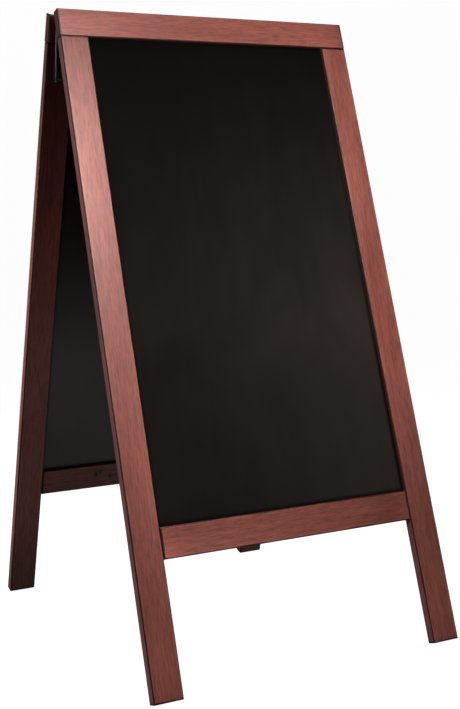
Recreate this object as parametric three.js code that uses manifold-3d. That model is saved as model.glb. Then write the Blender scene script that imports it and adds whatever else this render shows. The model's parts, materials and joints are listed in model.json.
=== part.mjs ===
// A wooden sandwich board: two equal framed chalkboard leaves that stand as an A and fold flat
// about a pair of pressed steel hinges between their top rails.
//
// Millimetres, +Z up. X runs across the board, -Y is the front. The origin is on the floor, midway
// between the four feet and right below the hinge pins.

import * as THREE from "three";
import { mergeVertices } from "three/addons/utils/BufferGeometryUtils.js";
import Module from "manifold-3d";

const wasm = await Module();
wasm.setup();

// The board as a whole.
const BOARD_WIDTH = 600;
const LEAF_LENGTH = 1205;
const LEG_LENGTH = 220;
const OPEN_HALF_ANGLE = THREE.MathUtils.degToRad(17);
const TOP_GAP = 18;

// The frame's timber and its joints.
const TIMBER_WIDTH = 53;
const TIMBER_THICKNESS = 20;
const ARRIS_RADIUS = 2.5;
const ARRIS_SEGMENTS = 3;
const END_CHAMFER = 1.2;
const JOINT_GAP = 0.3;
const DOWEL_RADIUS = 4;
const DOWEL_LENGTH = 40;
const DOWEL_CHAMFER = 0.8;
const DOWEL_OFFSET = 12;
const GLUE_ROOM = 0.2;

// The chalkboard panel, held in a groove all round.
const PANEL_THICKNESS = 4;
const GROOVE_DEPTH = 8.3;
const GROOVE_WIDTH = PANEL_THICKNESS + 2 * JOINT_GAP;

// The hinges: each is a narrow channel arm inside a wider one, on a pin through their ears.
const SHEET = 2;
const ARM_TOP = 4;
const ARM_TIP = 125;
const ARM_TAPER_START = 30;
const ARM_HALF_WIDTH = 16.5;
const ARM_TIP_HALF_WIDTH = 8.9;
const ARM_FLANGE = 12.8;
const ARM_TIP_FLANGE = 8.4;
const ARM_TIP_RADIUS = 4;
const NEST_GAP = 0.4;
const PIVOT_DROP = 15;
const PIVOT_RADIUS = 2.5;
const OUTER_EAR_RADIUS = 6.5;
const INNER_EAR_RADIUS = 5.5;
const STOP_DROP = 7;
const STOP_RADIUS = 2;
const STOP_EAR_RADIUS = 4;
const PIVOT_HEAD_RADIUS = 4.5;
const PIVOT_HEAD_HEIGHT = 1.6;
const STOP_HEAD_RADIUS = 3.2;
const STOP_HEAD_HEIGHT = 1.2;
const SHOULDER_DROP = 4;
const RUNNING_CLEARANCE = 0.1;
const EAR_CORNER = THREE.MathUtils.degToRad(35);
const EAR_HEEL = THREE.MathUtils.degToRad(-70);

// The pan head screws that hold the arms.
const SCREW_PLACES = [32, 76, 117];
const SCREW_RADIUS = 1.8;
const SCREW_LENGTH = 15;
const SCREW_POINT = 3;
const HEAD_RADIUS = 3.75;
const HEAD_HEIGHT = 2.4;
const HEAD_GAP = 0.2;
const RECESS_LENGTH = 4.2;
const RECESS_WIDTH = 0.9;
const RECESS_DEPTH = 1.3;
const BORE_CLEARANCE = 0.3;

// How finely round shapes are faceted, how far a cutter runs past a face, and when points are one.
const ROUND_SEGMENTS = 16;
const SMALL_SEGMENTS = 12;
const PRESSING_SEGMENTS = 8;
const DOME_POINTS = 3;
const CUT_PAST = 1;
const SAME_POINT = 1e-4;

const halfWidth = BOARD_WIDTH / 2;
const openingHalf = halfWidth - TIMBER_WIDTH;
const bottomRailTop = LEAF_LENGTH - LEG_LENGTH - TIMBER_WIDTH;
const hingeX = halfWidth - TIMBER_WIDTH / 2;
// The leaves stand on the chamfered inner edge of their square-cut feet.
const topHeight = LEAF_LENGTH * Math.cos(OPEN_HALF_ANGLE) - END_CHAMFER * Math.sin(OPEN_HALF_ANGLE);

const wood = { color: 0x6b3a33, roughness: 0.5, metalness: 0 };
const dowelWood = { color: 0xc9a878, roughness: 0.8, metalness: 0 };
const chalkboard = { color: 0x171514, roughness: 0.85, metalness: 0 };
const armSteel = { color: 0x74716d, roughness: 0.45, metalness: 1 };
const pinSteel = { color: 0x8b8884, roughness: 0.35, metalness: 1 };
const screwSteel = { color: 0x9a9691, roughness: 0.35, metalness: 1 };

// A closed three.js geometry as a solid that can be joined and cut.
function solidOf(geometry) {
  const bare = geometry.clone();
  bare.deleteAttribute("normal");
  bare.deleteAttribute("uv");
  const merged = mergeVertices(bare, SAME_POINT);
  return new wasm.Manifold(
    new wasm.Mesh({
      numProp: 3,
      vertProperties: new Float32Array(merged.attributes.position.array),
      triVerts: new Uint32Array(merged.index.array),
    }),
  );
}

// A solid back as a three.js geometry with flat faces.
function geometryOf(solid) {
  const mesh = solid.getMesh();
  const indexed = new THREE.BufferGeometry();
  indexed.setAttribute("position", new THREE.BufferAttribute(mesh.vertProperties, mesh.numProp));
  indexed.setIndex(new THREE.BufferAttribute(mesh.triVerts, 1));
  const flat = indexed.toNonIndexed();
  flat.computeVertexNormals();
  return flat;
}

function cut(geometry, cutters) {
  const whole = solidOf(geometry);
  return geometryOf(cutters.reduce((solid, cutter) => solid.subtract(solidOf(cutter)), whole));
}

function addPiece(group, name, geometry, look) {
  const mesh = new THREE.Mesh(geometry, new THREE.MeshStandardMaterial(look));
  mesh.name = name;
  group.add(mesh);
  return mesh;
}

// A box given by its size and its centre.
function block(size, centre) {
  return new THREE.BoxGeometry(...size).translate(...centre);
}

// A cylinder from its centre, along X, Y or Z.
function rod(radius, length, axis, centre, segments = ROUND_SEGMENTS) {
  const geometry = new THREE.CylinderGeometry(radius, radius, length, segments);
  if (axis === "x") geometry.rotateZ(Math.PI / 2);
  if (axis === "z") geometry.rotateX(Math.PI / 2);
  return geometry.translate(...centre);
}

// A length of frame timber along Z, centred on the origin: its long edges are rounded and its ends
// chamfered.
function timber(length) {
  const x = TIMBER_WIDTH / 2;
  const y = TIMBER_THICKNESS / 2;
  const r = ARRIS_RADIUS;
  const section = new THREE.Shape();
  section.absarc(x - r, y - r, r, 0, Math.PI / 2);
  section.absarc(r - x, y - r, r, Math.PI / 2, Math.PI);
  section.absarc(r - x, r - y, r, Math.PI, 1.5 * Math.PI);
  section.absarc(x - r, r - y, r, 1.5 * Math.PI, 2 * Math.PI);
  const geometry = new THREE.ExtrudeGeometry(section, {
    depth: length - 2 * END_CHAMFER,
    curveSegments: ARRIS_SEGMENTS,
    bevelThickness: END_CHAMFER,
    bevelSize: END_CHAMFER,
    bevelOffset: -END_CHAMFER,
    bevelSegments: 1,
  });
  return geometry.translate(0, 0, END_CHAMFER - length / 2);
}

// The blind hole for half a dowel, along X or Z, drilled from `mouth` on the joint's face into the
// wood in the direction `into` (+1 or -1).
function dowelHole(axis, mouth, into) {
  const depth = DOWEL_LENGTH / 2 + JOINT_GAP + GLUE_ROOM;
  const centre = [...mouth];
  centre[axis === "x" ? 0 : 2] += (into * (depth - CUT_PAST)) / 2;
  return rod(DOWEL_RADIUS + BORE_CLEARANCE, depth + CUT_PAST, axis, centre, SMALL_SEGMENTS);
}

// The hole for a hinge screw at (x, z), a screw's length deep from the inner face at y = inner.
function screwHole(x, z, inner) {
  return rod(SCREW_RADIUS + BORE_CLEARANCE, 2 * SCREW_LENGTH, "y", [x, inner, z], SMALL_SEGMENTS);
}

// ---- Leaf pieces. Each is made about its own centre: X across, Z along the leaf. ----

function topRail(out) {
  const body = timber(BOARD_WIDTH).rotateY(Math.PI / 2);
  const underside = -TIMBER_WIDTH / 2;
  const inner = (-out * TIMBER_THICKNESS) / 2;
  const cutters = [
    block([2 * (openingHalf + GROOVE_DEPTH), GROOVE_WIDTH, 2 * GROOVE_DEPTH], [0, 0, underside]),
  ];
  for (const side of [-1, 1]) {
    for (const offset of [-DOWEL_OFFSET, DOWEL_OFFSET])
      cutters.push(dowelHole("z", [side * hingeX + offset, 0, underside], 1));
    cutters.push(screwHole(side * hingeX, TIMBER_WIDTH / 2 - SCREW_PLACES[0], inner));
  }
  return cut(body, cutters);
}

// `inward` is +1 when the opening is on the stile's +X side.
function stile(out, inward) {
  const top = TIMBER_WIDTH + JOINT_GAP;
  const length = LEAF_LENGTH - top;
  const at = (drop) => length / 2 + top - drop;
  const edge = (inward * TIMBER_WIDTH) / 2;
  const grooveEnd = bottomRailTop + GROOVE_DEPTH;
  const cutters = [
    block([2 * GROOVE_DEPTH, GROOVE_WIDTH, grooveEnd], [edge, 0, at(grooveEnd / 2)]),
  ];
  for (const offset of [-DOWEL_OFFSET, DOWEL_OFFSET]) {
    cutters.push(dowelHole("z", [offset, 0, at(top)], -1));
    cutters.push(dowelHole("x", [edge, 0, at(bottomRailTop + TIMBER_WIDTH / 2 + offset)], -inward));
  }
  for (const place of SCREW_PLACES.slice(1))
    cutters.push(screwHole(0, at(place), (-out * TIMBER_THICKNESS) / 2));
  return cut(timber(length), cutters);
}

function bottomRail() {
  const length = 2 * (openingHalf - JOINT_GAP);
  const body = timber(length).rotateY(Math.PI / 2);
  const cutters = [
    block([length + 2 * CUT_PAST, GROOVE_WIDTH, 2 * GROOVE_DEPTH], [0, 0, TIMBER_WIDTH / 2]),
  ];
  for (const side of [-1, 1])
    for (const offset of [-DOWEL_OFFSET, DOWEL_OFFSET])
      cutters.push(dowelHole("x", [(side * length) / 2, 0, offset], -side));
  return cut(body, cutters);
}

function dowel(axis) {
  const end = DOWEL_LENGTH / 2;
  const profile = [
    [0, -end],
    [DOWEL_RADIUS - DOWEL_CHAMFER, -end],
    [DOWEL_RADIUS, DOWEL_CHAMFER - end],
    [DOWEL_RADIUS, end - DOWEL_CHAMFER],
    [DOWEL_RADIUS - DOWEL_CHAMFER, end],
    [0, end],
  ];
  const points = profile.map(([r, y]) => new THREE.Vector2(r, y));
  const geometry = new THREE.LatheGeometry(points, SMALL_SEGMENTS);
  return axis === "x" ? geometry.rotateZ(Math.PI / 2) : geometry.rotateX(Math.PI / 2);
}

// ---- Hinge pieces. A leaf's hinge frame has its origin on the leaf's inner face at its top edge:
// X across, Z along the leaf, and n is the distance from the inner face towards the other leaf. ----

// The point of a leaf's hinge frame, as (n, z), that lies `past` the mid-plane between the leaves,
// towards the other one, and `drop` below their top edges, when the board stands open.
function betweenLeaves(past, drop) {
  const reach = TOP_GAP / 2 + past;
  const c = Math.cos(OPEN_HALF_ANGLE);
  const s = Math.sin(OPEN_HALF_ANGLE);
  return { n: reach * c + drop * s, z: reach * s - drop * c };
}

const pivot = betweenLeaves(0, PIVOT_DROP);
const stop = betweenLeaves(0, STOP_DROP);

// The flange's free edge and the web's end, which both arms' side outlines end with.
function closeFlange(outline) {
  outline.lineTo(ARM_FLANGE, -ARM_TAPER_START);
  outline.lineTo(ARM_TIP_FLANGE, -ARM_TIP);
  outline.lineTo(JOINT_GAP, -ARM_TIP);
  outline.closePath();
  return outline;
}

// The wide arm's side, as (n, z): its ear carries the stop pin above the hinge pin.
function outerSide() {
  const outline = new THREE.Shape();
  outline.moveTo(JOINT_GAP, -ARM_TOP);
  outline.absarc(stop.n, stop.z, STOP_EAR_RADIUS, Math.PI / 2, 0, true);
  outline.absarc(pivot.n, pivot.z, OUTER_EAR_RADIUS, EAR_CORNER, EAR_HEEL, true);
  return closeFlange(outline);
}

// The narrow arm's side, as (n, z): its ear has a straight shoulder, upright when the board is open,
// which the stop pin meets there.
function innerSide() {
  const shoulder = STOP_RADIUS + JOINT_GAP;
  const shoulderTop = betweenLeaves(-shoulder, SHOULDER_DROP);
  const meets = Math.PI / 2 + OPEN_HALF_ANGLE + Math.asin(shoulder / INNER_EAR_RADIUS);
  const outline = new THREE.Shape();
  outline.moveTo(JOINT_GAP, -ARM_TOP);
  outline.lineTo(shoulderTop.n, shoulderTop.z);
  outline.absarc(pivot.n, pivot.z, INNER_EAR_RADIUS, meets, EAR_HEEL, true);
  return closeFlange(outline);
}

// An arm's plan as (x, z), narrower all round by `inset`; its tip is rounded or left long.
function armPlan(inset, roundTip) {
  const wide = ARM_HALF_WIDTH - inset;
  const narrow = ARM_TIP_HALF_WIDTH - inset;
  const top = roundTip ? -ARM_TOP + STOP_EAR_RADIUS : TOP_GAP;
  const slope = (wide - narrow) / (ARM_TIP - ARM_TAPER_START);
  const tipZ = ARM_TIP_RADIUS - ARM_TIP;
  const outline = new THREE.Shape();
  outline.moveTo(-wide, top);
  outline.lineTo(-wide, -ARM_TAPER_START);
  if (roundTip) {
    outline.lineTo(-narrow, tipZ);
    outline.absarc(ARM_TIP_RADIUS - narrow, tipZ, ARM_TIP_RADIUS, Math.PI, 1.5 * Math.PI);
    outline.absarc(narrow - ARM_TIP_RADIUS, tipZ, ARM_TIP_RADIUS, 1.5 * Math.PI, 2 * Math.PI);
  } else {
    const past = ARM_TIP_RADIUS;
    outline.lineTo(past * slope - narrow, -ARM_TIP - past);
    outline.lineTo(narrow - past * slope, -ARM_TIP - past);
  }
  outline.lineTo(wide, -ARM_TAPER_START);
  outline.lineTo(wide, top);
  outline.closePath();
  return outline;
}

// A pressed channel arm: a web on the leaf's inner face between two flanges, which end in ears.
function arm(out, side, inset, earHoles) {
  const deep = 2 * (ARM_HALF_WIDTH + CUT_PAST);
  const high = 2 * TOP_GAP;
  const flat = { curveSegments: PRESSING_SEGMENTS, bevelEnabled: false };
  const sideToLeaf = new THREE.Matrix4().makeBasis(
    new THREE.Vector3(0, -out, 0),
    new THREE.Vector3(0, 0, 1),
    new THREE.Vector3(-out, 0, 0),
  );
  const planToLeaf = new THREE.Matrix4().makeBasis(
    new THREE.Vector3(out, 0, 0),
    new THREE.Vector3(0, 0, 1),
    new THREE.Vector3(0, -out, 0),
  );
  const sideBlock = new THREE.ExtrudeGeometry(side, { ...flat, depth: deep })
    .translate(0, 0, -deep / 2)
    .applyMatrix4(sideToLeaf);
  const planBlock = new THREE.ExtrudeGeometry(armPlan(inset, true), { ...flat, depth: high })
    .translate(0, 0, -CUT_PAST)
    .applyMatrix4(planToLeaf);
  const channel = new THREE.ExtrudeGeometry(armPlan(inset + SHEET, false), { ...flat, depth: high })
    .translate(0, 0, JOINT_GAP + SHEET)
    .applyMatrix4(planToLeaf);
  let solid = solidOf(sideBlock).intersect(solidOf(planBlock)).subtract(solidOf(channel));
  for (const hole of earHoles)
    solid = solid.subtract(solidOf(rod(hole.radius, deep, "x", [0, -out * hole.n, hole.z])));
  for (const place of SCREW_PLACES) {
    const hole = rod(SCREW_RADIUS + BORE_CLEARANCE, 4 * SHEET, "y", [0, 0, -place], SMALL_SEGMENTS);
    solid = solid.subtract(solidOf(hole));
  }
  return geometryOf(solid);
}

// A pin along X with a domed head at both ends: `grip` is the width between the heads.
function headedPin(radius, grip, headRadius, headHeight) {
  const half = grip / 2;
  const profile = new THREE.Path();
  profile.moveTo(0, -half - headHeight);
  profile.quadraticCurveTo(headRadius, -half - headHeight, headRadius, -half);
  profile.lineTo(radius, -half);
  profile.lineTo(radius, half);
  profile.lineTo(headRadius, half);
  profile.quadraticCurveTo(headRadius, half + headHeight, 0, half + headHeight);
  return new THREE.LatheGeometry(profile.getPoints(DOME_POINTS), ROUND_SEGMENTS).rotateZ(Math.PI / 2);
}

// A pan head screw along Y with its head towards +Y; y = 0 is the underside of the head.
function screw() {
  const profile = new THREE.Path();
  profile.moveTo(0, -SCREW_LENGTH);
  profile.lineTo(SCREW_RADIUS, SCREW_POINT - SCREW_LENGTH);
  profile.lineTo(SCREW_RADIUS, 0);
  profile.lineTo(HEAD_RADIUS, 0);
  profile.lineTo(HEAD_RADIUS, HEAD_HEIGHT / 3);
  profile.quadraticCurveTo(HEAD_RADIUS, HEAD_HEIGHT, 0, HEAD_HEIGHT);
  const recessHeight = RECESS_DEPTH + CUT_PAST;
  const recessCentre = [0, HEAD_HEIGHT - RECESS_DEPTH + recessHeight / 2, 0];
  return cut(new THREE.LatheGeometry(profile.getPoints(DOME_POINTS), SMALL_SEGMENTS), [
    block([RECESS_LENGTH, recessHeight, RECESS_WIDTH], recessCentre),
    block([RECESS_WIDTH, recessHeight, RECESS_LENGTH], recessCentre),
  ]);
}

// ---- The assembly ----

const board = new THREE.Group();
board.name = "sandwich_board";

// One leaf: `out` is the Y direction in which its outer face looks. It is drawn upright with its
// inner face on y = 0 and its top edge on z = 0, then leaned about that edge.
function addLeaf(name, out, armSide, armInset, earHoles) {
  const leaf = new THREE.Group();
  leaf.position.set(0, (out * TOP_GAP) / 2, topHeight);
  leaf.rotation.x = out * OPEN_HALF_ANGLE;
  board.add(leaf);
  const middle = (out * TIMBER_THICKNESS) / 2;

  addPiece(leaf, `${name}_top_rail`, topRail(out), wood).position.set(0, middle, -TIMBER_WIDTH / 2);
  const railZ = -(bottomRailTop + TIMBER_WIDTH / 2);
  addPiece(leaf, `${name}_bottom_rail`, bottomRail(), wood).position.set(0, middle, railZ);

  const panelWidth = 2 * (openingHalf + GROOVE_DEPTH - JOINT_GAP);
  const panelHeight = bottomRailTop - TIMBER_WIDTH + 2 * (GROOVE_DEPTH - JOINT_GAP);
  const panel = new THREE.BoxGeometry(panelWidth, PANEL_THICKNESS, panelHeight);
  const panelZ = -(bottomRailTop + TIMBER_WIDTH) / 2;
  addPiece(leaf, `${name}_chalkboard_panel`, panel, chalkboard).position.set(0, middle, panelZ);

  for (const [hand, side] of [["left", -1], ["right", 1]]) {
    const stileMesh = addPiece(leaf, `${name}_${hand}_stile`, stile(out, -side), wood);
    stileMesh.position.set(side * hingeX, middle, -(LEAF_LENGTH + TIMBER_WIDTH + JOINT_GAP) / 2);

    for (const [label, offset] of [["outer", DOWEL_OFFSET], ["inner", -DOWEL_OFFSET]]) {
      const topDowel = addPiece(leaf, `${name}_${hand}_top_dowel_${label}`, dowel("z"), dowelWood);
      topDowel.position.set(side * (hingeX + offset), middle, -TIMBER_WIDTH - JOINT_GAP / 2);
    }
    for (const [label, offset] of [["upper", DOWEL_OFFSET], ["lower", -DOWEL_OFFSET]]) {
      const railDowel = addPiece(leaf, `${name}_${hand}_bottom_dowel_${label}`, dowel("x"), dowelWood);
      railDowel.position.set(side * (openingHalf - JOINT_GAP / 2), middle, railZ + offset);
    }

    const hinge = new THREE.Group();
    hinge.position.set(side * hingeX, 0, 0);
    leaf.add(hinge);
    addPiece(hinge, `${name}_${hand}_hinge_arm`, arm(out, armSide, armInset, earHoles), armSteel);
    SCREW_PLACES.forEach((place, index) => {
      const label = ["top", "middle", "bottom"][index];
      const screwMesh = addPiece(hinge, `${name}_${hand}_hinge_screw_${label}`, screw(), screwSteel);
      screwMesh.position.set(0, -out * (JOINT_GAP + SHEET + HEAD_GAP), -place);
      if (out > 0) screwMesh.rotation.x = Math.PI;
    });
  }
}

const pinHole = { ...pivot, radius: PIVOT_RADIUS + RUNNING_CLEARANCE };
const stopHole = { ...stop, radius: STOP_RADIUS + RUNNING_CLEARANCE };
addLeaf("front", -1, innerSide(), SHEET + NEST_GAP, [pinHole]);
addLeaf("rear", 1, outerSide(), 0, [pinHole, stopHole]);

const grip = 2 * (ARM_HALF_WIDTH + HEAD_GAP);
for (const [hand, side] of [["left", -1], ["right", 1]]) {
  const hingeShape = headedPin(PIVOT_RADIUS, grip, PIVOT_HEAD_RADIUS, PIVOT_HEAD_HEIGHT);
  const hingePin = addPiece(board, `${hand}_hinge_pin`, hingeShape, pinSteel);
  hingePin.position.set(side * hingeX, 0, topHeight - PIVOT_DROP);
  const stopShape = headedPin(STOP_RADIUS, grip, STOP_HEAD_RADIUS, STOP_HEAD_HEIGHT);
  const stopPin = addPiece(board, `${hand}_stop_pin`, stopShape, pinSteel);
  stopPin.position.set(side * hingeX, 0, topHeight - STOP_DROP);
}

export default board;
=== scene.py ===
"""The looks of a wooden sandwich board: stained timber frames, chalkboard panels and steel hinges.

Metres, in the CAD's own frame. Each piece takes its place and size from the CAD node that it stands
for. A leaf is drawn upright, in "leaf coordinates", and then leaned by half the angle that the hinge
folds.
"""

import json
import math
import random

import bmesh
import bpy
from mathutils import Matrix, Vector, noise

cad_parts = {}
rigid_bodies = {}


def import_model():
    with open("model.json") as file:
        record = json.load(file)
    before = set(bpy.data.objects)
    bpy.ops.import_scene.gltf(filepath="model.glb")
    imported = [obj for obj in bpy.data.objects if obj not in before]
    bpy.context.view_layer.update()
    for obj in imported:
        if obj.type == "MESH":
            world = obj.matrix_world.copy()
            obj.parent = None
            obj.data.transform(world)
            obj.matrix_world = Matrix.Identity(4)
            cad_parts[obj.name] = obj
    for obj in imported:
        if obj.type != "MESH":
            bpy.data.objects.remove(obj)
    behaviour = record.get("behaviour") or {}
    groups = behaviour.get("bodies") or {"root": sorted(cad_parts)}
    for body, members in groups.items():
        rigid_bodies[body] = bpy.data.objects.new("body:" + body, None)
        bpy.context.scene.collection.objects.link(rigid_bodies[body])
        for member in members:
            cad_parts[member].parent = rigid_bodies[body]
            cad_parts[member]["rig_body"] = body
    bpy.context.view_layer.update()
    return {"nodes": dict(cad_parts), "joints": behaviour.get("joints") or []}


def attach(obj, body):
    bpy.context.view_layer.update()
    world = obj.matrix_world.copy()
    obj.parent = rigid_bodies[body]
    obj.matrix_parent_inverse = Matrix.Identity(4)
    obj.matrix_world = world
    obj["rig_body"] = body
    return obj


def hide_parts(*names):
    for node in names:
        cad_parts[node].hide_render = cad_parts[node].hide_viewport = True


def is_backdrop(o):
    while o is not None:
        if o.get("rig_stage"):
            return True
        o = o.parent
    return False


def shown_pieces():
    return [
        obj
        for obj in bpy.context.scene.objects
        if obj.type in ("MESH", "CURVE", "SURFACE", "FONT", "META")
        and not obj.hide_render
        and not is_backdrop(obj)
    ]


MM = 0.001
QUARTER_TURN = math.pi / 2
X, Y, Z = Vector((1, 0, 0)), Vector((0, 1, 0)), Vector((0, 0, 1))

# ---- The photograph's camera: metres and radians ----
CAMERA_PLACE = (-1.0784, -2.1767, 0.7735)
CAMERA_YAW = 0.4889
CAMERA_PITCH = 0.0376
CAMERA_ROLL = -0.0245
LENS = 63.58
SENSOR = 36.0
SHIFT = (-0.0176, -0.1268)

# ---- Timber ----
ARRIS = 2.3 * MM  # radius of the rounded long edges
ARRIS_STEPS = 6
ARRIS_WANDER = 0.3 * MM
END_ROUND = 1.0 * MM  # radius of the eased ends
END_STEPS = 4
STATION = 12 * MM  # spacing of the outlines along a member
LEAST_STATION = 0.4 * MM
HAND_PLANE = 0.12 * MM  # how deep the plane's strokes go
SUPPORT = 0.5 * MM  # width of the strip that keeps a face flat up to its arris
WIDE_STATIONS = (0.08, 0.22, 0.38, 0.5, 0.62, 0.78, 0.92)  # shares of a wide face
NARROW_STATIONS = (0.3, 0.7)  # shares of a narrow one
DENTS = 5
DENT_SPREAD = 0.96  # share of the member's length that dents are found on
DENT_DEPTH = 0.45 * MM
DENT_HALF = 3.0 * MM
DENT_FACING = 0.7  # cosine at which a dent starts round the arris
GROOVE_HALF = 2.3 * MM
GROOVE_DEPTH = 8.3 * MM
GROOVE_START = 0.02 * MM  # length over which the groove begins
BEYOND = 1.0  # metres: past the end of any member

# ---- Boards ----
BOARD_EASE = 0.4 * MM
BOARD_BOW = 0.12 * MM
BOARD_COLUMNS, BOARD_ROWS = 24, 40

# ---- Dowels, screws and pins ----
BORE_CLEARANCE = 0.3 * MM
BORE_REACH = 0.4 * MM  # how much further than its dowel or screw a bore runs
FLUTES = 14
FLUTE_POINTS = 4
FLUTE_DIP = 0.22 * MM
DOWEL_CHAMFER = 0.8 * MM
SCREW_RADIUS = 1.8 * MM
SCREW_LENGTH = 15 * MM
SCREW_POINT = 3 * MM
HEAD_RADIUS = 3.75 * MM
HEAD_HEIGHT = 2.4 * MM
HEAD_LIP = 0.2 * MM
RECESS_ARM = 2.1 * MM  # half length of one bar of the cross recess
RECESS_HALF = 0.42 * MM  # half its width
RECESS_LEVELS = ((1.1 * MM, 0.55), (3.0 * MM, 1.12))  # heights, and how wide it is there
HINGE_PIN = (2.5 * MM, 1.6 * MM)  # radius, and height of a head
STOP_PIN = (2.0 * MM, 1.2 * MM)
TURNED_SEGMENTS = 40

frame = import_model()
fold = frame["joints"][0]["range_deg"]
LEAN = math.radians(abs(fold[1] - fold[0])) / 2


# ---------------------------------------------------------------------------------------------
# Places, all read from the CAD nodes
# ---------------------------------------------------------------------------------------------


def leaf_of(node):
    """The leaf that a node is drawn with: the pins stand between the leaves and aren't leaned."""
    return node.split("_")[0] if node.startswith(("front", "rear")) else "between"


def lean_matrix(node):
    """Leaf coordinates to the CAD's frame."""
    angle = {"front": -LEAN, "rear": LEAN, "between": 0.0}[leaf_of(node)]
    return Matrix.Rotation(angle, 4, "X")


def upright_box(node):
    """A CAD node's centre and half sizes in leaf coordinates."""
    back = lean_matrix(node).inverted()
    points = [back @ v.co for v in frame["nodes"][node].data.vertices]
    lo = Vector(min(p[i] for p in points) for i in range(3))
    hi = Vector(max(p[i] for p in points) for i in range(3))
    return (lo + hi) / 2, (hi - lo) / 2


def axes(x, y, z):
    """A rotation whose columns are the given axes."""
    return Matrix((x, y, z)).transposed().to_4x4()


def along_length(half):
    """Turns Z to the longer of X and Z of a dowel with these half sizes."""
    return Matrix.Rotation(QUARTER_TURN, 4, "Y") if half.x > half.z else Matrix.Identity(4)


def stand_in(name, mesh, node, matrix, material):
    """A piece made of this mesh that rides as the CAD node it replaces, which is hidden."""
    piece = bpy.data.objects.new(name, mesh)
    bpy.context.scene.collection.objects.link(piece)
    piece.matrix_world = matrix
    if not mesh.materials:
        mesh.materials.append(material)
    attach(piece, frame["nodes"][node]["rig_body"])
    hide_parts(node)
    return piece


# ---------------------------------------------------------------------------------------------
# Meshes
# ---------------------------------------------------------------------------------------------


def mesh_of(name, bm, sharp=35):
    """A mesh from bm, smooth except along edges sharper than `sharp` degrees."""
    bmesh.ops.recalc_face_normals(bm, faces=bm.faces)
    mesh = bpy.data.meshes.new(name)
    bm.to_mesh(mesh)
    bm.free()
    mesh.shade_smooth()
    mesh.set_sharp_from_angle(angle=math.radians(sharp))
    return mesh


def circle(radius, z, count):
    """Points round a circle about Z."""
    angles = (2 * math.pi * i / count for i in range(count))
    return [Vector((radius * math.cos(a), radius * math.sin(a), z)) for a in angles]


def dome_arc(steps):
    """Angles from the rim of a dome to just short of its top."""
    return [QUARTER_TURN * i / steps for i in range(steps)]


def stitch(bm, rings):
    """Joins closed rings of vertices, each to the next, by quads."""
    for low, high in zip(rings, rings[1:]):
        for i in range(len(low)):
            j = (i + 1) % len(low)
            bm.faces.new((low[i], low[j], high[j], high[i]))


def skin(bm, rings):
    """Joins closed rings of points by quads and closes both ends with a flat cap."""
    made = [[bm.verts.new(p) for p in ring] for ring in rings]
    stitch(bm, made)
    bm.faces.new(list(reversed(made[0])))
    bm.faces.new(made[-1])


def carve(mesh, cutters):
    """The mesh less the closed shapes in the bmesh `cutters`."""
    body = bpy.data.objects.new("carved", mesh)
    tool_mesh = bpy.data.meshes.new("cutters")
    bmesh.ops.recalc_face_normals(cutters, faces=cutters.faces)
    cutters.to_mesh(tool_mesh)
    cutters.free()
    tool = bpy.data.objects.new("cutters", tool_mesh)
    for o in (body, tool):
        bpy.context.scene.collection.objects.link(o)
    boolean = body.modifiers.new("cut", "BOOLEAN")
    boolean.operation = "DIFFERENCE"
    boolean.solver = "EXACT"
    boolean.object = tool
    cut = body.evaluated_get(bpy.context.evaluated_depsgraph_get())
    done = bpy.data.meshes.new_from_object(cut)
    for o in (body, tool):
        bpy.data.objects.remove(o)
    bpy.data.meshes.remove(mesh)
    bpy.data.meshes.remove(tool_mesh)
    done.set_sharp_from_angle(angle=math.radians(35))
    return done


def add_rod(bm, matrix, radius, half, segments=24):
    """A closed cylinder along its own Z."""
    skin(bm, [[matrix @ p for p in circle(radius, z, segments)] for z in (-half, half)])


def lathe(bm, profile, segments):
    """Turns (radius, z) points about Z; the first and last lie on the axis."""
    made = [[bm.verts.new(p) for p in circle(r, z, segments)] for r, z in profile[1:-1]]
    stitch(bm, made)
    for ring, z, flip in ((made[0], profile[0][1], True), (made[-1], profile[-1][1], False)):
        tip = bm.verts.new((0, 0, z))
        for i in range(segments):
            j = (i + 1) % segments
            bm.faces.new((tip, ring[j], ring[i]) if flip else (tip, ring[i], ring[j]))


def section(half_x, half_y, radius, groove):
    """A timber's outline as (x, y, outward x, outward y), with the panel's groove in its +X edge.
    groove is the groove's depth, or 0 where the edge is whole."""
    points = []

    def flat(a, b, normal, stations):
        for t in stations:
            points.append((a[0] + (b[0] - a[0]) * t, a[1] + (b[1] - a[1]) * t, *normal))

    def corner(cx, cy, start):
        for i in range(ARRIS_STEPS + 1):
            a = math.radians(start + 90 * i / ARRIS_STEPS)
            outward = (math.cos(a), math.sin(a))
            points.append((cx + radius * outward[0], cy + radius * outward[1], *outward))

    x, y = half_x - radius, half_y - radius
    lip = GROOVE_HALF if groove else GROOVE_HALF * 0.5
    support_x, support_y = SUPPORT / (2 * x), SUPPORT / (2 * y)
    wide = (support_x, *WIDE_STATIONS, 1 - support_x)
    narrow = (support_y, *NARROW_STATIONS, 1 - support_y)
    points.append((half_x, -y + SUPPORT, 1, 0))
    points.append((half_x, -GROOVE_HALF, 0, 0))
    points.append((half_x - groove, -lip, 0, 0))
    points.append((half_x - groove, lip, 0, 0))
    points.append((half_x, GROOVE_HALF, 0, 0))
    points.append((half_x, y - SUPPORT, 1, 0))
    corner(x, y, 0)
    flat((x, half_y), (-x, half_y), (0, 1), wide)
    corner(-x, y, 90)
    flat((-half_x, y), (-half_x, -y), (-1, 0), narrow)
    corner(-x, -y, 180)
    flat((-x, -half_y), (x, -half_y), (0, -1), wide)
    corner(x, -y, 270)
    return points


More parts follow.
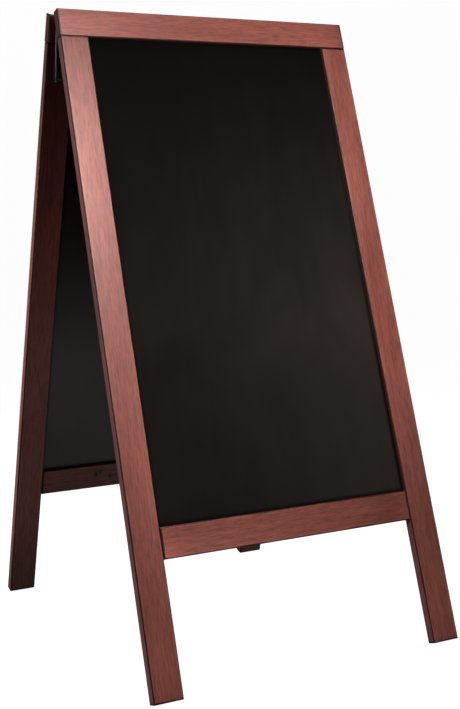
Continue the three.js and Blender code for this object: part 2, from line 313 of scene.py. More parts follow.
def timber_stations(half_z, dents, groove_ends):
    """The heights of a member's outlines, each with how far that outline is drawn in."""
    top = half_z - END_ROUND
    count = int(2 * top / STATION)
    heights = [2 * top * i / count - top for i in range(count + 1)]
    for at, _, _ in dents:
        heights += [at + DENT_HALF * t for t in (-1, -0.5, 0, 0.5, 1)]
    heights = sorted(h for h in heights if abs(h) < top - MM)
    heights = [h for h in heights if all(abs(h - g) > 2 * GROOVE_START for g in groove_ends)]
    spaced = [-top]
    for h in heights + [top]:
        if h - spaced[-1] > LEAST_STATION:
            spaced.append(h)
    spaced[-1] = top
    stations = [(h, 0.0) for h in spaced]
    for i in range(END_STEPS):
        a = QUARTER_TURN * i / END_STEPS
        inset = END_ROUND * (1 - math.sin(a))
        drop = END_ROUND * (1 - math.cos(a))
        stations += [(drop - half_z, inset), (half_z - drop, inset)]
    for g in groove_ends:
        stations += [(g - GROOVE_START / 2, 0.0), (g + GROOVE_START / 2, 0.0)]
    return sorted(stations)


def timber_mesh(name, half, groove_range, seed):
    """A length of timber along Z, with hand-rounded arrises, eased ends, a panel groove between the
    two heights in groove_range, and a few small dents along its arrises."""
    rng = random.Random(seed)
    half_x, half_y, half_z = half
    low, high = groove_range
    dents = []
    for _ in range(DENTS):
        at = rng.uniform(-DENT_SPREAD, DENT_SPREAD) * half_z
        turn = math.radians(rng.choice((45, 135, 225, 315)))
        dents.append((at, (math.cos(turn), math.sin(turn)), rng.uniform(0.3, 1.0)))

    rings = []
    for z, inset in timber_stations(half_z, dents, [g for g in (low, high) if abs(g) < half_z]):
        groove = GROOVE_DEPTH - inset if low < z < high else 0
        wander = ARRIS_WANDER * noise.noise(Vector((z * 9, seed * 3.7, 0)))
        ring = []
        for x, y, nx, ny in section(half_x - inset, half_y - inset, ARRIS - inset + wander, groove):
            if nx or ny:
                where = Vector((x * 14 + seed, y * 14, z * 5))
                shave = HAND_PLANE * (0.5 + 0.5 * noise.noise(where))
                for at, towards, size in dents:
                    facing = nx * towards[0] + ny * towards[1]
                    if nx and ny and abs(z - at) < DENT_HALF and facing > DENT_FACING:
                        dip = math.cos((z - at) / DENT_HALF * QUARTER_TURN) ** 2
                        shave += DENT_DEPTH * size * dip * (facing - DENT_FACING) / (1 - DENT_FACING)
                x -= nx * shave
                y -= ny * shave
            ring.append((x, y, z))
        rings.append(ring)
    bm = bmesh.new()
    skin(bm, rings)
    return mesh_of(name, bm)


# ---------------------------------------------------------------------------------------------
# Materials
# ---------------------------------------------------------------------------------------------


class Look:
    """A procedural material on one Principled shader, with short names for the nodes it needs."""

    def __init__(self, name):
        self.material = bpy.data.materials.new(name)
        self.material.use_nodes = True
        self.tree = self.material.node_tree
        self.shader = self.tree.nodes["Principled BSDF"]
        self.place = self.tree.nodes.new("ShaderNodeTexCoord").outputs["Object"]

    def put(self, socket, value):
        """Links an output to the socket, or sets the socket to a number, a vector or a colour."""
        if hasattr(value, "is_output"):
            self.tree.links.new(value, socket)
        elif isinstance(value, (tuple, list)) and len(value) == 3 and socket.type == "RGBA":
            socket.default_value = (*value, 1.0)
        else:
            socket.default_value = value

    def maths(self, operation, a, b=0.0, c=0.0):
        node = self.tree.nodes.new("ShaderNodeMath")
        node.operation = operation
        for socket, value in zip(node.inputs, (a, b, c)):
            self.put(socket, value)
        return node.outputs[0]

    def vector(self, operation, a, b=(0, 0, 0)):
        node = self.tree.nodes.new("ShaderNodeVectorMath")
        node.operation = operation
        self.put(node.inputs[0], a)
        self.put(node.inputs[1], b)
        return node.outputs["Value" if operation == "LENGTH" else "Vector"]

    def split(self, vector):
        node = self.tree.nodes.new("ShaderNodeSeparateXYZ")
        self.put(node.inputs[0], vector)
        return node.outputs

    def stretch(self, vector, scale, shift=(0, 0, 0)):
        node = self.tree.nodes.new("ShaderNodeMapping")
        self.put(node.inputs["Vector"], vector)
        node.inputs["Scale"].default_value = scale
        node.inputs["Location"].default_value = shift
        return node.outputs[0]

    def cloud(self, vector, detail=2.0, roughness=0.5, distortion=0.0, colour=False):
        node = self.tree.nodes.new("ShaderNodeTexNoise")
        self.put(node.inputs["Vector"], vector)
        node.inputs["Scale"].default_value = 1.0
        node.inputs["Detail"].default_value = detail
        node.inputs["Roughness"].default_value = roughness
        node.inputs["Distortion"].default_value = distortion
        return node.outputs["Color" if colour else "Fac"]

    def step(self, value, low, high, to_low=0.0, to_high=1.0):
        """A smooth step between low and high."""
        node = self.tree.nodes.new("ShaderNodeMapRange")
        node.interpolation_type = "SMOOTHSTEP"
        sockets = ("Value", "From Min", "From Max", "To Min", "To Max")
        for name, v in zip(sockets, (value, low, high, to_low, to_high)):
            self.put(node.inputs[name], v)
        return node.outputs[0]

    def blend(self, factor, a, b):
        """Colour a, or colour b where the factor is 1."""
        node = self.tree.nodes.new("ShaderNodeMix")
        node.data_type = "RGBA"
        self.put(node.inputs["Factor"], factor)
        self.put(node.inputs[6], a)
        self.put(node.inputs[7], b)
        return node.outputs[2]

    def scaled(self, colour, value):
        """A colour or vector times a number."""
        node = self.tree.nodes.new("ShaderNodeVectorMath")
        node.operation = "SCALE"
        self.put(node.inputs[0], colour)
        self.put(node.inputs["Scale"], value)
        return node.outputs[0]

    def finish(self, colour, roughness, height, depth, **fixed):
        """Sets the shader up, with bumps `depth` high and the `fixed` sockets set as they are."""
        self.put(self.shader.inputs["Base Color"], colour)
        self.put(self.shader.inputs["Roughness"], roughness)
        bump = self.tree.nodes.new("ShaderNodeBump")
        bump.inputs["Strength"].default_value = 1.0
        bump.inputs["Distance"].default_value = depth
        self.put(bump.inputs["Height"], height)
        self.put(self.shader.inputs["Normal"], bump.outputs[0])
        for name, value in fixed.items():
            self.shader.inputs[name.replace("_", " ")].default_value = value
        return self.material


WOOD_DARK = (0.150, 0.040, 0.028)
WOOD_MID = (0.262, 0.074, 0.054)
WOOD_LIGHT = (0.350, 0.108, 0.080)
WOOD_BARE = (0.420, 0.200, 0.130)
WOOD_KNOT = (0.022, 0.006, 0.004)
# Painted shade for the dark line along the arrises.
ARRIS_SHADE = (0.020, 0.0018, 0.0012)
# Painted shade for the edges inside the panel's recess.
RECESS_SHADE = (0.040, 0.013, 0.009)
RING_PITCH = 5.2 * MM
GRAIN_SWAY = 0.022
WOOD_BUMP = 0.09 * MM
# The wood's noises: cells per metre across, through and along the member, octaves and roughness.
GRAIN = {
    "wobble": ((60, 60, 14), 2, 0.5),
    "drift": ((7, 7, 1.3), 2, 0.5),
    "tone": ((16, 16, 3.4), 2, 0.5),
    "fibre": ((1100, 1100, 16), 2, 0.6),
    "fleck": ((400, 400, 38), 2, 0.6),
    "pore": ((1700, 1700, 85), 1, 0.5),
    "chip": ((420, 420, 130), 2, 0.6),
}


def wood(name, half, recess_shade_span, seed, tint, tones_and_shade, knots):
    """Fine-grained timber under a reddish-brown stain and satin lacquer, for a member along Z with
    its panel edge at +X. Painted shade darkens its arrises and, over the stretch given for it, the
    edge inside the panel's recess; a painted highlight lightens the shoulders beside the arrises."""
    look = Look(name)
    rng = random.Random(seed * 101)
    shift = tuple(rng.uniform(-5, 5) for _ in range(3))
    place = look.place
    x, _, z = look.split(place)

    def grain(kind, where=place, colour=False):
        cells, octaves, roughness = GRAIN[kind]
        return look.cloud(look.stretch(where, cells, shift), octaves, roughness, colour=colour)

    def from_knot(where, knot, squeeze):
        """The way from a knot's heart, in knot sizes, squeezed along the grain."""
        knot_x, knot_z, size = knot
        scale = (1 / size, 0, squeeze / size)
        return look.stretch(where, scale, (-knot_x / size, 0, -squeeze * knot_z / size))

    # Distances in from the three pairs of faces; the middle one is that to the nearest arris.
    gap = look.vector("SUBTRACT", tuple(half), look.vector("ABSOLUTE", place))
    gx, gy, gz = look.split(gap)
    low = look.maths("MINIMUM", gx, gy)
    high = look.maths("MINIMUM", look.maths("MAXIMUM", gx, gy), gz)
    edge = look.maths("MAXIMUM", low, high)

    # The grain sways along the member and bends round its knots.
    wobble = grain("wobble")
    drift = look.vector("SUBTRACT", grain("drift", colour=True), (0.5, 0.5, 0.5))
    bent = look.vector("ADD", place, look.scaled(drift, GRAIN_SWAY))
    for knot in knots:
        away = from_knot(place, knot, 0.5)
        pull = look.step(look.vector("LENGTH", away), 0.2, 3.2, 1.0, 0.0)
        pull = look.maths("MULTIPLY", pull, -knot[2] * 0.55)
        bent = look.vector("ADD", bent, look.scaled(look.vector("MULTIPLY", away, X), pull))

    # Growth rings about a heart beside the board, and the late wood at the end of each.
    heart = (rng.uniform(-0.03, 0.03), rng.uniform(0.05, 0.09), 0)
    bx, by, _ = look.split(look.vector("ADD", bent, heart))
    squares = look.maths("ADD", look.maths("MULTIPLY", bx, bx), look.maths("MULTIPLY", by, by))
    ring = look.maths("SQRT", squares)
    phase = look.maths("FRACT", look.maths("MULTIPLY", ring, 1 / RING_PITCH))
    late = look.maths("MULTIPLY", look.step(phase, 0.25, 0.9), look.step(phase, 0.92, 1.0, 1.0, 0.0))

    tone = grain("tone")
    fibre = grain("fibre", bent)
    fleck = grain("fleck", bent)
    pore = grain("pore", bent)

    # The stain: cloudy, with this member's tint, then its paler and darker lengths, then the grain.
    # On the rear left stile the darker lengths are painted shade.
    colour = look.blend(look.step(tone, 0.30, 0.70), WOOD_DARK, WOOD_LIGHT)
    colour = look.blend(0.58, colour, WOOD_MID)
    strength = tint
    for at, span, gain in tones_and_shade:
        from_it = look.maths("ABSOLUTE", look.maths("SUBTRACT", z, at))
        strength = look.maths("MULTIPLY", look.step(from_it, 0.0, span, gain, 1.0), strength)
    colour = look.scaled(colour, strength)
    colour = look.scaled(colour, look.maths("MULTIPLY_ADD", late, -0.10, 1.03))
    colour = look.scaled(colour, look.step(fibre, 0.25, 0.75, 0.88, 1.12))
    colour = look.scaled(colour, look.step(fleck, 0.40, 0.68, 1.09, 0.74))
    colour = look.scaled(colour, look.step(pore, 0.56, 0.68, 1.0, 0.70))
    for knot in knots:
        away = look.vector("LENGTH", from_knot(bent, knot, 0.62))
        colour = look.blend(look.step(away, 0.3, 1.0, 0.95, 0.0), colour, WOOD_KNOT)

    # Paler shoulders beside the arrises: a painted highlight.
    inner = look.step(edge, 1.8 * MM, 2.8 * MM)
    outer = look.step(edge, 3.0 * MM, 5.5 * MM, 1.0, 0.0)
    shoulder_highlight = look.maths("MULTIPLY", look.maths("MULTIPLY", inner, outer), wobble)
    colour = look.scaled(colour, look.maths("MULTIPLY_ADD", shoulder_highlight, 0.5, 1.0))

    # A wavering dark line along each long arris, further onto the narrow face than onto the wide
    # one, and round the ends: painted shade where the rounded arris turns from the light.
    reach = look.step(wobble, 0.28, 0.72, 2.5 * MM, 4.0 * MM)
    long_edge = look.maths("MAXIMUM", look.maths("ADD", gx, 1.0 * MM), gy)
    long_edge = look.maths("SUBTRACT", long_edge, reach)
    long_line = look.step(long_edge, -0.7 * MM, 0.4 * MM, 1.0, 0.0)
    narrow_face = look.step(gy, 0.2 * MM, 0.6 * MM, 0.84, 1.0)
    long_line = look.maths("MULTIPLY", long_line, narrow_face)
    end_edge = look.maths("SUBTRACT", look.maths("MAXIMUM", gz, low), reach)
    end_line = look.step(end_edge, -0.8 * MM, 0.2 * MM, 1.0, 0.0)
    arris = look.maths("MAXIMUM", long_line, end_line)
    colour = look.blend(look.maths("MULTIPLY", arris, 0.95), colour, ARRIS_SHADE)

    # A few bare specks where an arris has been knocked.
    chip = look.step(grain("chip"), 0.66, 0.72)
    worn = look.maths("MULTIPLY", chip, look.step(edge, 1.2 * MM, 2.2 * MM, 0.5, 0.0))
    colour = look.blend(worn, colour, WOOD_BARE)

    # End grain drinks more stain.
    ends = look.step(gz, 0.15 * MM, 0.7 * MM, 1.0, 0.0)
    colour = look.scaled(colour, look.maths("MULTIPLY_ADD", ends, -0.45, 1.0))

    # The edge that faces the panel, inside its recess, is darkened: painted shade.
    line = look.maths("MULTIPLY_ADD", look.maths("SUBTRACT", wobble, 0.5), 0.8 * MM, x)
    board_paint_and_recess_shade = look.step(line, half[0] - 1.0 * MM, half[0] - 0.4 * MM)
    for at, before, after in ((recess_shade_span[0], 0.0, 1.0), (recess_shade_span[1], 1.0, 0.0)):
        board_paint_and_recess_shade = look.maths("MULTIPLY", board_paint_and_recess_shade, look.step(z, at - MM, at + MM, before, after))
    colour = look.blend(board_paint_and_recess_shade, colour, RECESS_SHADE)

    rough = look.step(fleck, 0.3, 0.75, 0.36, 0.48)
    rough = look.maths("MULTIPLY_ADD", tone, 0.06, rough)
    rough = look.maths("MULTIPLY_ADD", ends, 0.2, rough)
    rough = look.maths("MULTIPLY_ADD", board_paint_and_recess_shade, 0.05, rough)
    height = look.maths("MULTIPLY_ADD", fibre, 0.3, look.step(pore, 0.56, 0.68, 0.5, 0.0))
    height = look.maths("MULTIPLY_ADD", look.step(fleck, 0.5, 0.7, 1.0, 0.0), 0.3, height)
    return look.finish(colour, rough, height, WOOD_BUMP, Specular_IOR_Level=0.42)


BOARD_PAINT = (0.0012, 0.0011, 0.0009)
# Painted reflection: the grey glare of the room on the board.
PAINTED_GLARE = (0.0250, 0.0197, 0.0170)
SHADED_RIM = (8.5 * MM, 17 * MM)  # where the painted glare starts, in from the panel's edge; the band outside it is painted shade
BOARD_BUMP = 0.03 * MM


def chalkboard(name, half, seed, mirrored):
    """Matt black board paint, rolled on, with a painted reflection: a grey glare of the room, most
    of it towards one side and fading upwards, kept off a band of painted shade next to the frame."""
    look = Look(name)
    shift = (seed * 1.7, seed * 0.6, 0)
    place = look.place
    x, _, z = look.split(place)
    # The painted glare: paler towards one side and lower down, and broken into clouds.
    across = look.step(look.maths("MULTIPLY", x, -1.0) if mirrored else x, -0.15, 0.3, 0.28, 1.0)
    glare_spread = look.maths("MULTIPLY", across, look.step(z, -0.25, 0.45, 1.0, 0.06))
    inside = look.vector("SUBTRACT", tuple(half), look.vector("ABSOLUTE", place))
    inside_x, _, inside_z = look.split(inside)
    # Painted shade: the band next to the frame keeps the board's full black.
    rim = look.step(look.maths("MINIMUM", inside_x, inside_z), *SHADED_RIM)
    glare_spread = look.maths("MULTIPLY", glare_spread, rim)
    cloudy = look.cloud(look.stretch(place, (5, 5, 4), shift), 4, 0.55, 0.6)
    glare = look.maths("MULTIPLY", glare_spread, look.step(cloudy, 0.25, 0.75, 0.75, 1.25))
    wipe = look.cloud(look.stretch(place, (40, 40, 6), shift), 3, 0.6, 0.3)
    orange_peel = look.cloud(look.stretch(place, (700, 700, 700), shift), 2, 0.6)
    grit = look.cloud(look.stretch(place, (2600, 2600, 2600), shift), 1, 0.5)
    colour = look.blend(glare, BOARD_PAINT, PAINTED_GLARE)
    colour = look.scaled(colour, look.step(wipe, 0.3, 0.7, 0.95, 1.06))
    colour = look.scaled(colour, look.step(grit, 0.35, 0.65, 0.86, 1.14))
    rough = look.step(wipe, 0.3, 0.7, 0.40, 0.43)
    height = look.maths("MULTIPLY_ADD", grit, 0.3, orange_peel)
    return look.finish(colour, rough, height, BOARD_BUMP, Specular_IOR_Level=0.4)


def steel(name, tint, roughness, seed):
    """Zinc-plated sheet or wire, dulled, with rolling marks and darker specks."""
    look = Look(name)
    shift = (seed * 2.1, 0, seed)
    place = look.place
    rolled = look.cloud(look.stretch(place, (300, 300, 4000), shift), 2, 0.6)
    spangle = look.cloud(look.stretch(place, (260, 260, 260), shift), 3, 0.6)
    speck = look.cloud(look.stretch(place, (1500, 1500, 1500), shift), 1, 0.5)
    dull = tuple(c * 0.72 for c in tint)
    colour = look.blend(look.step(spangle, 0.3, 0.7), dull, tint)
    colour = look.scaled(colour, look.step(speck, 0.62, 0.72, 1.0, 0.45))
    rough = look.step(spangle, 0.3, 0.7, roughness - 0.08, roughness + 0.1)
    return look.finish(colour, rough, rolled, 0.02 * MM, Metallic=1.0)


BEECH_DARK = (0.42, 0.27, 0.15)
BEECH_LIGHT = (0.60, 0.42, 0.26)


def beech(name):
    """Bare beech, with its short dark flecks along the dowel."""
    look = Look(name)
    fleck = look.cloud(look.stretch(look.place, (1400, 1400, 220)), 2, 0.5)
    fibre = look.cloud(look.stretch(look.place, (2600, 2600, 60)), 2, 0.5)
    colour = look.blend(look.step(fibre, 0.3, 0.7), BEECH_DARK, BEECH_LIGHT)
    colour = look.scaled(colour, look.step(fleck, 0.58, 0.68, 1.0, 0.66))
    return look.finish(colour, look.step(fibre, 0.3, 0.7, 0.7, 0.82), fibre, 0.05 * MM)


# ---------------------------------------------------------------------------------------------
# The leaves
# ---------------------------------------------------------------------------------------------

LEAVES = ("front", "rear")
HANDS = {"left": 1, "right": -1}
# How dark each member took the stain, against the usual.
TINTS = {
    "front_top_rail": 0.79,
    "front_left_stile": 0.95,
    "front_bottom_rail": 0.96,
    "rear_left_stile": 1.15,
    "rear_bottom_rail": 1.2,
}
# Paler and darker lengths of a member: place along it and reach each way in mm, and strength.
LENGTH_TONES_AND_SHADE = {
    "front_left_stile": [(576, 230, 0.66), (110, 190, 0.77), (-560, 130, 1.25)],
    "front_right_stile": [(-20, 200, 1.2), (-320, 220, 0.77)],
    "front_top_rail": [(235, 140, 1.3)],
    "front_bottom_rail": [(247, 60, 1.36), (-198, 80, 0.76)],
    # The rear left stile's darker top and foot are painted shade: the front leaf's shade on its
    # inner face, painted all round the stile.
    "rear_left_stile": [(560, 420, 0.3), (-576, 250, 0.42)],
}
# Knots: place across the member, place along it and size, in mm.
KNOTS = {"rear_bottom_rail": [(9, 121, 4.6), (6, 131, 4.0), (-6, 98, 4.0)]}


def bores(leaf, into_member):
    """The dowel and screw holes of a leaf's joints, as one member's coordinates have them."""
    bm = bmesh.new()
    for node in frame["nodes"]:
        if leaf_of(node) != leaf:
            continue
        centre, half = upright_box(node)
        place = into_member @ Matrix.Translation(centre)
        if "_dowel_" in node:
            radius = min(half) + BORE_CLEARANCE
            add_rod(bm, place @ along_length(half), radius, max(half) + BORE_REACH)
        if "_screw_" in node:
            turn = Matrix.Rotation(QUARTER_TURN, 4, "X")
            add_rod(bm, place @ turn, SCREW_RADIUS + BORE_CLEARANCE, half.y + BORE_REACH, 16)
    return bm


def member(node, member_axes, groove_range, recess_shade_span, seed):
    """A frame member as a piece of its own. Its length is along its own Z, and the edge that faces
    the panel is at +X."""
    centre, half = upright_box(node)
    half = Vector(abs(c) for c in member_axes.transposed().to_3x3() @ half)
    place = Matrix.Translation(centre) @ member_axes
    mesh = timber_mesh(node + "_timber", half, groove_range, seed)
    mesh = carve(mesh, bores(leaf_of(node), place.inverted()))
    tones_and_shade = [(at * MM, span * MM, gain) for at, span, gain in LENGTH_TONES_AND_SHADE.get(node, ())]
    knots = [(across * MM, at * MM, size * MM) for across, at, size in KNOTS.get(node, ())]
    material = wood(node + "_wood", half, recess_shade_span, seed, TINTS.get(node, 1.0), tones_and_shade, knots)
    matrix = lean_matrix(node) @ place
    return stand_in(node + "_timber", mesh, node, matrix, material)


def panel(node, seed):
    """The board: a thin slab, eased along its edges, very slightly bowed within its groove."""
    centre, half = upright_box(node)
    depth = half.y - BOARD_BOW
    bm = bmesh.new()

    def sheet(y):
        """One face as a bowed grid; gives back the vertices round its border."""
        made = []
        for j in range(BOARD_ROWS + 1):
            v = -1 + 2 * j / BOARD_ROWS
            row = []
            for i in range(BOARD_COLUMNS + 1):
                u = -1 + 2 * i / BOARD_COLUMNS
                wave = BOARD_BOW * noise.noise(Vector((u * 2.2, v * 3.1, seed * 5.0)))
                place = (u * (half.x - BOARD_EASE), y + wave, v * (half.z - BOARD_EASE))
                row.append(bm.verts.new(place))
            made.append(row)
        for j in range(BOARD_ROWS):
            for i in range(BOARD_COLUMNS):
                bm.faces.new((made[j][i], made[j][i + 1], made[j + 1][i + 1], made[j + 1][i]))
        right = [row[-1] for row in made[1:]]
        left = [row[0] for row in made[-2:0:-1]]
        return made[0][:] + right + made[-1][-2::-1] + left

    def rim(border, sheet_y, y):
        """The border moved out to the slab's edge, at the depth where the easing starts."""
        ring = []
        for v in border:
            sx = half.x / (half.x - BOARD_EASE)
            sz = half.z / (half.z - BOARD_EASE)
            ring.append(bm.verts.new((v.co.x * sx, y + v.co.y - sheet_y, v.co.z * sz)))
        return ring

    outer = sheet(depth)
    inner = sheet(-depth)
    outer_rim = rim(outer, depth, depth - BOARD_EASE)
    inner_rim = rim(inner, -depth, BOARD_EASE - depth)
    stitch(bm, [outer, outer_rim, inner_rim, inner])
    mesh = mesh_of(node + "_board", bm)
    matrix = lean_matrix(node) @ Matrix.Translation(centre)
    board_paint_and_recess_shade = chalkboard(node + "_paint", half, seed, leaf_of(node) == "rear")
    return stand_in(node + "_board", mesh, node, matrix, board_paint_and_recess_shade)


for number, leaf in enumerate(LEAVES):
    low_centre, low_half = upright_box(f"{leaf}_bottom_rail")
    low_top = low_centre.z + low_half.z
    opening = low_half.x
    reach = opening + GROOVE_DEPTH
    everywhere = (-BEYOND, BEYOND)
    seed = 10 * number + 1
    member(f"{leaf}_top_rail", axes(-Z, Y, X), (-reach, reach), (-opening, opening), seed)
    member(f"{leaf}_bottom_rail", axes(Z, Y, -X), everywhere, everywhere, seed + 1)
    for hand, inward in HANDS.items():
        node = f"{leaf}_{hand}_stile"
        centre, _ = upright_box(node)
        opening_foot = low_top - centre.z
        groove_range = (opening_foot - GROOVE_DEPTH, BEYOND)
        stile_axes = axes(inward * X, inward * Y, Z)
        member(node, stile_axes, groove_range, (opening_foot, BEYOND), seed + 3 + inward)
    panel(f"{leaf}_chalkboard_panel", seed + 6)


# ---------------------------------------------------------------------------------------------
# Dowels and metalwork
# ---------------------------------------------------------------------------------------------


def fluted_dowel(radius, half):
    """A dowel along Z with shallow glue flutes and chamfered ends."""
    count = FLUTES * FLUTE_POINTS
    neck = half - DOWEL_CHAMFER
    rings = []
    for z, inset in ((-half, DOWEL_CHAMFER), (-neck, 0.0), (neck, 0.0), (half, DOWEL_CHAMFER)):
        ring = []
        for i in range(count):
            a = 2 * math.pi * i / count
            r = radius - inset - (FLUTE_DIP if i % FLUTE_POINTS == 0 else 0.0)
            ring.append((r * math.cos(a), r * math.sin(a), z))
        rings.append(ring)
    bm = bmesh.new()
    skin(bm, rings)
    return mesh_of("fluted_dowel", bm)


def pan_screw():
    """A pan head screw along Z with a cross recess; z = 0 is the underside of the head."""
    dome = [
        (HEAD_RADIUS * math.cos(a) ** 0.6, HEAD_HEIGHT * (0.35 + 0.65 * math.sin(a)))
        for a in dome_arc(8)
    ]
    profile = [
        (0, -SCREW_LENGTH),
        (0.25 * MM, 0.2 * MM - SCREW_LENGTH),
        (SCREW_RADIUS, SCREW_POINT - SCREW_LENGTH),
        (SCREW_RADIUS, 0),
        (HEAD_RADIUS - HEAD_LIP, 0),
        (HEAD_RADIUS, HEAD_LIP),
        *dome,
        (0.4 * MM, HEAD_HEIGHT * 0.998),
        (0, HEAD_HEIGHT),
    ]
    bm = bmesh.new()
    lathe(bm, profile, TURNED_SEGMENTS)
    mesh = mesh_of("pan_screw", bm)
    cutters = bmesh.new()
    bar = [(i * RECESS_ARM, j * RECESS_HALF) for i, j in ((-1, -1), (1, -1), (1, 1), (-1, 1))]
    for turn in (0, QUARTER_TURN):
        c, s = math.cos(turn), math.sin(turn)
        rings = [
            [((x * c - y * s) * k, (x * s + y * c) * k, z) for x, y in bar]
            for z, k in RECESS_LEVELS
        ]
        skin(cutters, rings)
    return carve(mesh, cutters)


def pin_mesh(name, radius, half, head_radius, head_height):
    """A riveted pin along Z with a domed head at both ends."""
    neck = half - head_height
    dome = [(head_radius * math.cos(a), neck + head_height * math.sin(a)) for a in dome_arc(7)]
    upper = [(radius, neck), *dome]
    profile = [(0, -half), *[(r, -z) for r, z in reversed(upper)], *upper, (0, half)]
    bm = bmesh.new()
    lathe(bm, profile, TURNED_SEGMENTS)
    return mesh_of(name, bm)


def pressed_arm(node):
    """The hinge arm of the CAD, with the rolled edges of pressed sheet."""
    bm = bmesh.new()
    bm.from_mesh(frame["nodes"][node].data)
    bmesh.ops.remove_doubles(bm, verts=bm.verts, dist=0.005 * MM)
    bmesh.ops.dissolve_limit(bm, angle_limit=math.radians(2), verts=bm.verts, edges=bm.edges)
    corner = math.radians(40)
    sharp = [e for e in bm.edges if len(e.link_faces) == 2 and e.calc_face_angle() > corner]
    bmesh.ops.bevel(
        bm,
        geom=sharp,
        offset=0.35 * MM,
        segments=3,
        affect="EDGES",
        profile=0.5,
        clamp_overlap=True,
    )
    return mesh_of(node + "_pressing", bm, 40)


arm_look = steel("zinc_sheet", (0.34, 0.33, 0.32), 0.42, 1)
pin_look = steel("zinc_pin", (0.42, 0.41, 0.40), 0.36, 2)
screw_look = steel("zinc_screw", (0.55, 0.54, 0.52), 0.28, 3)
dowel_look = beech("beech")
dowel_mesh = None
screw_mesh = None

for node in sorted(frame["nodes"]):
    centre, half = upright_box(node)
    place = lean_matrix(node) @ Matrix.Translation(centre)
    if "_dowel_" in node:
        if dowel_mesh is None:
            dowel_mesh = fluted_dowel(min(half), max(half))
        matrix = place @ along_length(half)
        stand_in(node + "_fluted", dowel_mesh, node, matrix, dowel_look)
    elif "_screw_" in node:
        if screw_mesh is None:
            screw_mesh = pan_screw()
        inward = 1 if leaf_of(node) == "front" else -1
        under_head = Matrix.Translation((0, inward * (half.y - HEAD_HEIGHT), 0))
        turn = Matrix.Rotation(-inward * QUARTER_TURN, 4, "X")
        spin = Matrix.Rotation(random.Random(node).uniform(0, math.pi), 4, "Z")
        matrix = place @ under_head @ turn @ spin
        stand_in(node + "_pan", screw_mesh, node, matrix, screw_look)
    elif node.endswith("_pin"):
        radius, head_height = HINGE_PIN if "hinge" in node else STOP_PIN
        mesh = pin_mesh(node + "_rivet", radius, half.x, half.z, head_height)
        matrix = place @ Matrix.Rotation(QUARTER_TURN, 4, "Y")
        stand_in(node + "_rivet", mesh, node, matrix, pin_look)
    elif node.endswith("_hinge_arm"):
        mesh = pressed_arm(node)
        stand_in(node + "_pressing", mesh, node, Matrix.Identity(4), arm_look)


# ---------------------------------------------------------------------------------------------
# The studio
# ---------------------------------------------------------------------------------------------

COVE_FLOOR, COVE_BEND, COVE_TOP = 6.0, 2.5, 9.0
COVE_SEGMENTS = 96
COVE_GREY = (0.20, 0.20, 0.20, 1)
COVE_GLOW = 0.97
WHITE = (1, 1, 1, 1)
ROOM = 0.02
# Glows of the room: direction, cosines at which the glow starts and is full, and strength.
GLOWS = (
    ((0, 1, 0), 0.2, 0.8, 0.07),  # lit paper behind the board
    ((0, 0, -1), 0.0, 0.5, 0.04),  # pale floor
    ((0.50, -0.68, -0.52), 0.92, 1.0, 0.55),  # floor to the front right
    ((-0.36, 0.93, 0.0), 0.86, 0.98, 0.27),  # paper behind and to the left
    ((0.58, -0.74, 0.34), 0.88, 1.0, 0.12),  # wall to the front right
)
# Lamps: place, aim, size and power.
KEY = ((-0.25, -0.88, 1.20), (-0.1, -0.15, 0.75), (0.2, 0.35), 14.5)
SHINE = ((-0.29, -0.88, 1.33), (-0.1, -0.15, 0.75), (0.2, 0.47), 19)
LOW_LEFT = ((-1.1, -0.7, 0.35), (-0.27, 0.25, 0.45), (0.5, 0.5), 1.2)
BACK = ((0.5, 1.5, 1.75), (0, 0.15, 0.7), (0.8, 0.8), 30)
RIGHT = ((2.0, 0.1, 1.3), (0.3, 0, 0.6), (0.8, 0.8), 14)
UNDER = ((0.0, -0.3, 0.2), (-0.15, 0.25, 0.45), (0.3, 0.3), 1.8)
LEFT = ((-2.0, 0.5, 1.0), (-0.3, 0, 0.6), (0.8, 0.8), 17)
TOP = ((0, 0.2, 2.6), (0, 0, 0.8), (1.2, 0.8), 9)


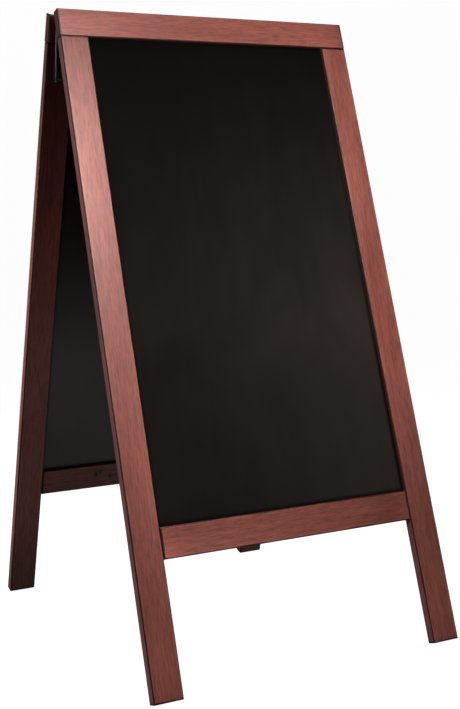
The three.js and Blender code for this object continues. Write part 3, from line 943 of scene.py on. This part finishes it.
def studio_cove():
    """A pale floor that curves up into a round wall, wider than any view of the board needs."""
    arc = [
        (COVE_FLOOR + COVE_BEND * math.sin(a), COVE_BEND * (1 - math.cos(a)))
        for a in (QUARTER_TURN * i / 16 for i in range(17))
    ]
    profile = [(0.5, 0.0), (2.0, 0.0), *arc, (COVE_FLOOR + COVE_BEND, COVE_TOP)]
    bm = bmesh.new()
    made = [[bm.verts.new(p) for p in circle(r, z, COVE_SEGMENTS)] for r, z in profile]
    bm.faces.new(made[0])
    stitch(bm, made)
    bmesh.ops.recalc_face_normals(bm, faces=bm.faces)
    mesh = bpy.data.meshes.new("studio_cove")
    bm.to_mesh(mesh)
    bm.free()
    mesh.shade_smooth()
    cove = bpy.data.objects.new("studio_cove", mesh)
    bpy.context.scene.collection.objects.link(cove)
    material = bpy.data.materials.new("pale_cove")
    material.use_nodes = True
    shader = material.node_tree.nodes["Principled BSDF"]
    shader.inputs["Base Color"].default_value = COVE_GREY
    shader.inputs["Roughness"].default_value = 0.9
    shader.inputs["Specular IOR Level"].default_value = 0.0
    shader.inputs["Emission Color"].default_value = WHITE
    shader.inputs["Emission Strength"].default_value = COVE_GLOW
    mesh.materials.append(material)
    cove.visible_diffuse = False
    cove.visible_glossy = False
    cove.visible_shadow = False
    cove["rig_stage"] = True


def studio_air():
    """The room that the board reflects: dim, with soft glows from the paper, floor and walls."""
    world = bpy.data.worlds.new("studio_air")
    bpy.context.scene.world = world
    world.use_nodes = True
    tree = world.node_tree
    back = tree.nodes["Background"]
    place = tree.nodes.new("ShaderNodeTexCoord").outputs["Generated"]
    total = ROOM
    for towards, low, high, strength in GLOWS:
        dot = tree.nodes.new("ShaderNodeVectorMath")
        dot.operation = "DOT_PRODUCT"
        dot.inputs[1].default_value = Vector(towards).normalized()
        tree.links.new(place, dot.inputs[0])
        glow = tree.nodes.new("ShaderNodeMapRange")
        glow.interpolation_type = "SMOOTHSTEP"
        tree.links.new(dot.outputs["Value"], glow.inputs["Value"])
        for name, value in (("From Min", low), ("From Max", high), ("To Max", strength)):
            glow.inputs[name].default_value = value
        add = tree.nodes.new("ShaderNodeMath")
        if isinstance(total, float):
            add.inputs[0].default_value = total
        else:
            tree.links.new(total, add.inputs[0])
        tree.links.new(glow.outputs[0], add.inputs[1])
        total = add.outputs[0]
    tree.links.new(total, back.inputs["Strength"])
    back.inputs["Color"].default_value = WHITE


def soft_light(name, place, target, size, power, on=None, diffuse=True, glossy=True):
    """An area lamp, seen in matt or glossy surfaces as asked, that lights only the objects `on`."""
    light = bpy.data.lights.new(name, "AREA")
    light.shape = "RECTANGLE"
    light.size, light.size_y = size
    light.energy = power
    lamp = bpy.data.objects.new(name, light)
    bpy.context.scene.collection.objects.link(lamp)
    lamp.location = place
    lamp.rotation_euler = (Vector(target) - Vector(place)).to_track_quat("-Z", "Y").to_euler()
    lamp.visible_diffuse = diffuse
    lamp.visible_glossy = glossy
    if on:
        lit = bpy.data.collections.new(name + "_lights")
        for o in on:
            lit.objects.link(o)
        lamp.light_linking.receiver_collection = lit


def photograph_camera():
    """The camera that the photograph was taken with, as its perspective gives it."""
    data = bpy.data.cameras.new("camera")
    data.sensor_width = SENSOR
    data.lens = LENS
    data.shift_x, data.shift_y = SHIFT
    camera = bpy.data.objects.new("camera", data)
    bpy.context.scene.collection.objects.link(camera)
    sy, cy = math.sin(CAMERA_YAW), math.cos(CAMERA_YAW)
    sp, cp = math.sin(CAMERA_PITCH), math.cos(CAMERA_PITCH)
    forward = Vector((sy * cp, cy * cp, -sp))
    right = Vector((cy, -sy, 0))
    up = right.cross(forward)
    roll = Matrix.Rotation(CAMERA_ROLL, 4, "Z")
    camera.matrix_world = Matrix.Translation(CAMERA_PLACE) @ axes(right, up, -forward) @ roll
    bpy.context.scene.camera = camera


studio_cove()
studio_air()

# The lamps are flagged: each lights only what it would reach past the flags. The key's shine is a
# taller lamp than the key itself, and the rear left stile stands in the front leaf's shade.
boards = [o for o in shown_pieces() if o.name.endswith("_board")]
shown = [o for o in bpy.context.scene.objects if o.type == "MESH" and not o.hide_render]
others = [o for o in shown if o not in boards]
shaded = [o for o in others if "rear_left_stile" in o.name]
ahead = [o for o in others if o not in shaded]
metal = [o for o in others if o.name.endswith(("_pan", "_rivet", "_pressing"))]
left_side = [o for o in others if o not in metal and "right_stile" not in o.name]
rear_board = [o for o in boards if o.name.startswith("rear")]
soft_light("key", *KEY, on=ahead, glossy=False)
soft_light("key_shine", *SHINE, on=ahead, diffuse=False)
soft_light("low_left", *LOW_LEFT, on=shaded, glossy=False)
soft_light("key_on_boards", *KEY, on=boards, glossy=False)
soft_light("back", *BACK)
soft_light("right", *RIGHT, glossy=False)
soft_light("under", *UNDER, on=rear_board, glossy=False)
soft_light("left", *LEFT, on=left_side, glossy=False)
soft_light("left_on_metal", *LEFT, on=metal)
soft_light("top", *TOP)
photograph_camera()
bpy.context.scene.view_settings.view_transform = "Standard"
